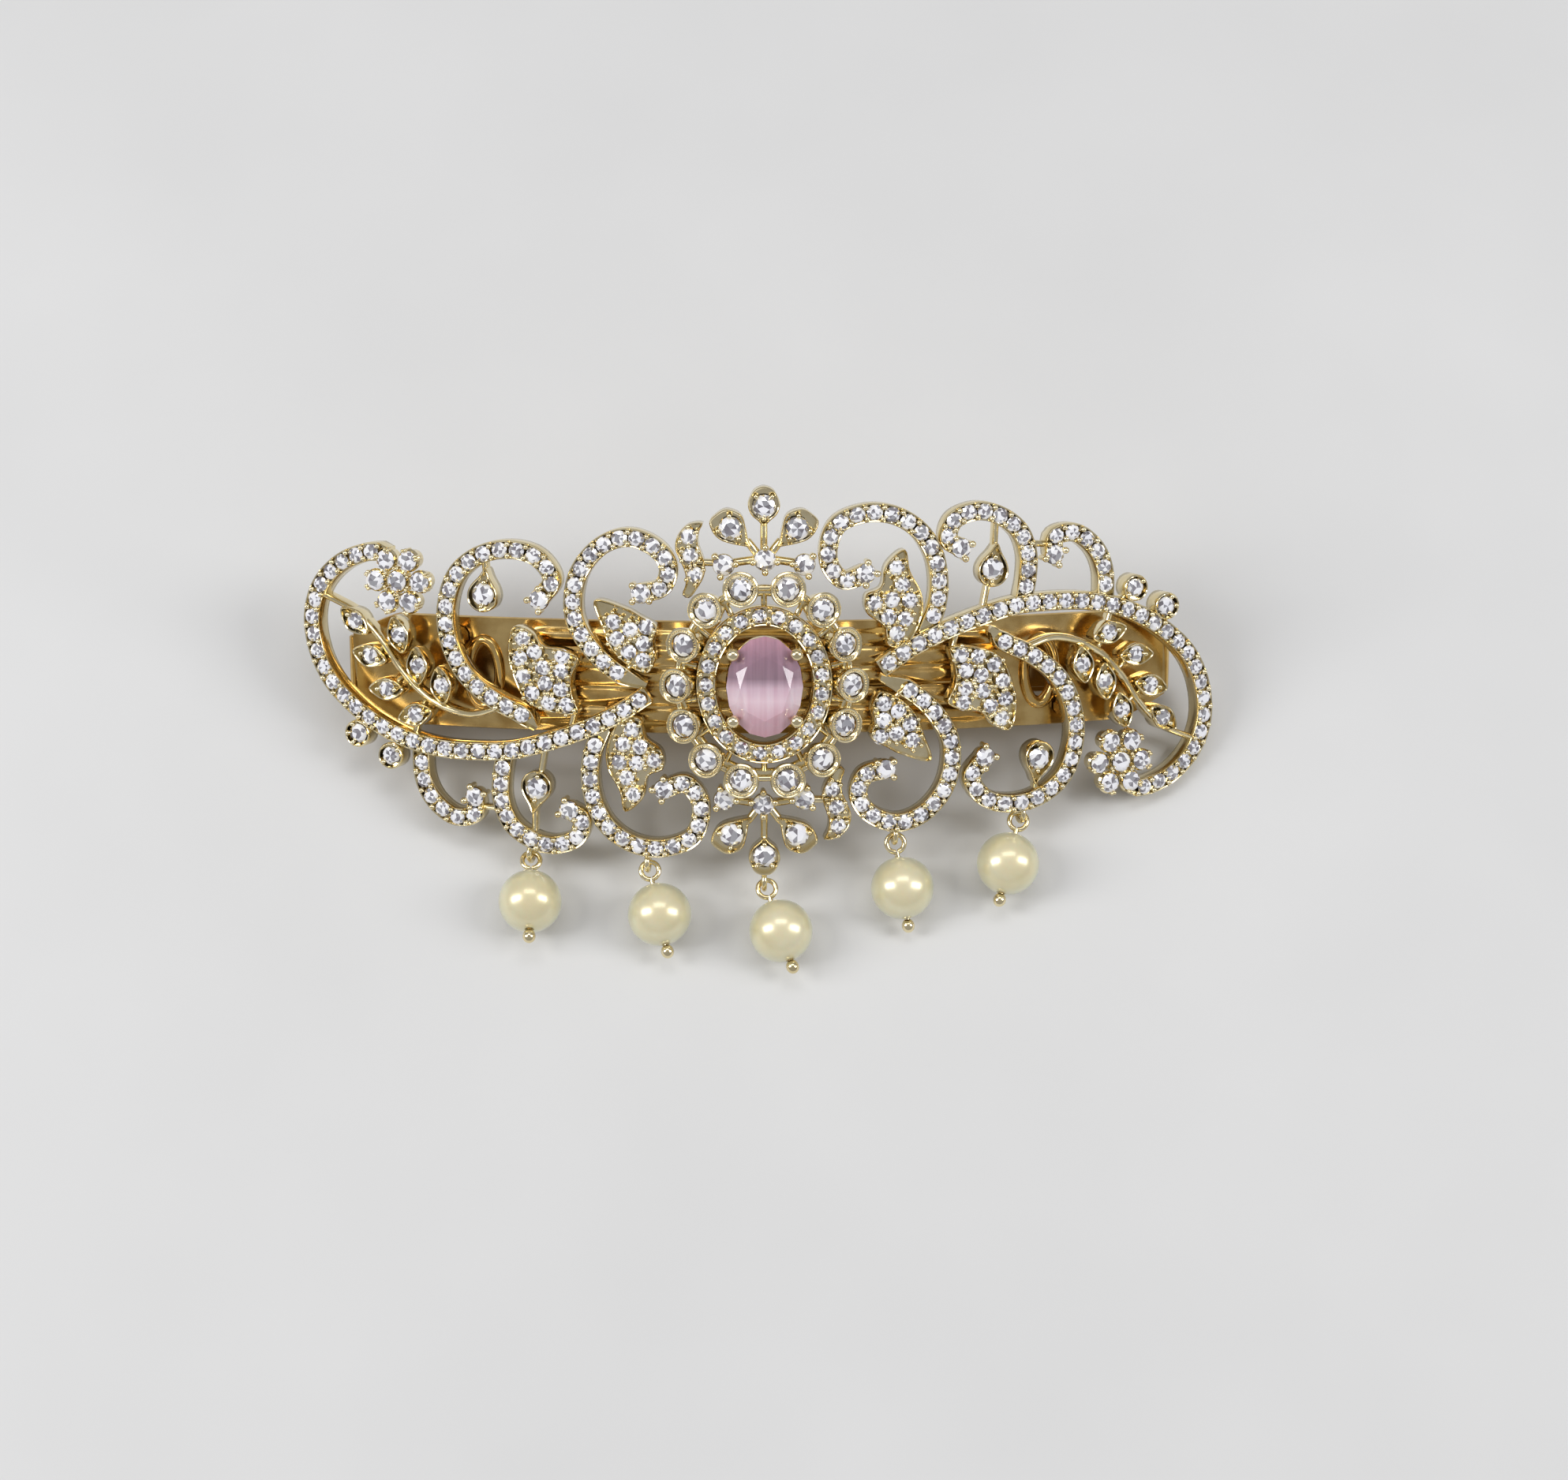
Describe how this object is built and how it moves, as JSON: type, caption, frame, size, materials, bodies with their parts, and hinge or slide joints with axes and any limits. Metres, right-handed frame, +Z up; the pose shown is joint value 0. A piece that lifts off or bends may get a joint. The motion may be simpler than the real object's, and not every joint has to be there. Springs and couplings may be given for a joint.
{
  "type": "hair barrette",
  "caption": "Curved openwork hair barrette with stone-set scrolls, an oval centre stone and hanging pearls, on a spring clip whose arm hinges open.",
  "frame": {"origin": "centre of the footprint of the whole barrette, on the table it lies on", "axes": "+X along the barrette's length towards its hinged end, +Z up from the table; the ornament's face looks up and leans about 30 degrees towards -Y, where the pearls lie"},
  "size_m": [0.088, 0.0412, 0.0243],
  "materials": {
    "cast_gold": "polished champagne-gold plating over cast openwork",
    "clip_gold": "bright gold-plated sheet metal",
    "clear_stone": "faceted clear stone",
    "pink_stone": "faceted milky pink stone",
    "pearl": "cream imitation pearl with a soft lustre"
  },
  "bodies": {
    "ornament": {"wing_right": "cast_gold", "wing_left": "cast_gold", "crest_upper": "cast_gold", "crest_lower": "cast_gold", "medallion_frame": "cast_gold", "bezel_stone_01": "clear_stone", "bezel_stone_02": "clear_stone", "bezel_stone_03": "clear_stone", "bezel_stone_04": "clear_stone", "bezel_stone_05": "clear_stone", "bezel_stone_06": "clear_stone", "bezel_stone_07": "clear_stone", "bezel_stone_08": "clear_stone", "bezel_stone_09": "clear_stone", "bezel_stone_10": "clear_stone", "bezel_stone_11": "clear_stone", "bezel_stone_12": "clear_stone", "bezel_stone_13": "clear_stone", "bezel_stone_14": "clear_stone", "centre_basket": "cast_gold", "centre_stone": "pink_stone", "clip_plate": "clip_gold", "hinge_pin": "clip_gold", "bow_spring": "clip_gold", "catch_base": "clip_gold", "mount_post_1": "clip_gold", "mount_post_2": "clip_gold", "mount_post_3": "clip_gold", "mount_post_4": "clip_gold", "mount_post_5": "clip_gold", "mount_post_6": "clip_gold"},
    "clasp_arm": {"clasp_arm": "clip_gold"},
    "catch_leg_front": {"catch_leg_front": "clip_gold"},
    "catch_leg_back": {"catch_leg_back": "clip_gold"},
    "drop_1": {"headpin_1": "cast_gold"},
    "pearl_1": {"pearl_1": "pearl"},
    "drop_2": {"headpin_2": "cast_gold"},
    "pearl_2": {"pearl_2": "pearl"},
    "drop_3": {"headpin_3": "cast_gold"},
    "pearl_3": {"pearl_3": "pearl"},
    "drop_4": {"headpin_4": "cast_gold"},
    "pearl_4": {"pearl_4": "pearl"},
    "drop_5": {"headpin_5": "cast_gold"},
    "pearl_5": {"pearl_5": "pearl"}
  },
  "joints": [
    {"name": "arm_hinge", "type": "hinge", "parent": "ornament", "child": "clasp_arm", "pos_m": [0.0366, 0.01124, 0.00284], "axis": [0, -0.851, -0.5252], "range_deg": [0, 100]},
    {"name": "catch_front_squeeze", "type": "hinge", "parent": "ornament", "child": "catch_leg_front", "pos_m": [-0.0358, 0.0087, 0.00315], "axis": [1, 0, 0], "range_deg": [0, 10], "stiffness_Nm_per_rad": 0.04},
    {"name": "catch_back_squeeze", "type": "hinge", "parent": "ornament", "child": "catch_leg_back", "pos_m": [-0.0358, 0.0121, 0.00526], "axis": [-1, 0, 0], "range_deg": [0, 10], "stiffness_Nm_per_rad": 0.04},
    {"name": "drop_swing_1", "type": "hinge", "parent": "ornament", "child": "drop_1", "pos_m": [-0.02217, -0.00831, 0.00225], "axis": [1, 0, 0], "range_deg": [-40, 115]},
    {"name": "pearl_spin_1", "type": "hinge", "parent": "drop_1", "child": "pearl_1", "pos_m": [-0.02217, -0.01341, 0.00302], "axis": [0, -0.9888, 0.149], "continuous": true},
    {"name": "drop_swing_2", "type": "hinge", "parent": "ornament", "child": "drop_2", "pos_m": [-0.01101, -0.00979, 0.00359], "axis": [1, 0, 0], "range_deg": [-40, 115]},
    {"name": "pearl_spin_2", "type": "hinge", "parent": "drop_2", "child": "pearl_2", "pos_m": [-0.00994, -0.01479, 0.00302], "axis": [0.2066, -0.9721, -0.1111], "continuous": true},
    {"name": "drop_swing_3", "type": "hinge", "parent": "ornament", "child": "drop_3", "pos_m": [0, -0.0116, 0.0032], "axis": [1, 0, 0], "range_deg": [-40, 115]},
    {"name": "pearl_spin_3", "type": "hinge", "parent": "drop_3", "child": "pearl_3", "pos_m": [0.00151, -0.01652, 0.00302], "axis": [0.2922, -0.9557, -0.0348], "continuous": true},
    {"name": "drop_swing_4", "type": "hinge", "parent": "ornament", "child": "drop_4", "pos_m": [0.01238, -0.00757, 0.00477], "axis": [1, 0, 0], "range_deg": [-40, 115]},
    {"name": "pearl_spin_4", "type": "hinge", "parent": "drop_4", "child": "pearl_4", "pos_m": [0.01314, -0.01236, 0.00302], "axis": [0.1472, -0.9292, -0.339], "continuous": true},
    {"name": "drop_swing_5", "type": "hinge", "parent": "ornament", "child": "drop_5", "pos_m": [0.02465, -0.00506, 0.00355], "axis": [1, 0, 0], "range_deg": [-20, 115]},
    {"name": "pearl_spin_5", "type": "hinge", "parent": "drop_5", "child": "pearl_5", "pos_m": [0.02333, -0.01001, 0.00302], "axis": [-0.2575, -0.9609, -0.1021], "continuous": true}
  ]
}
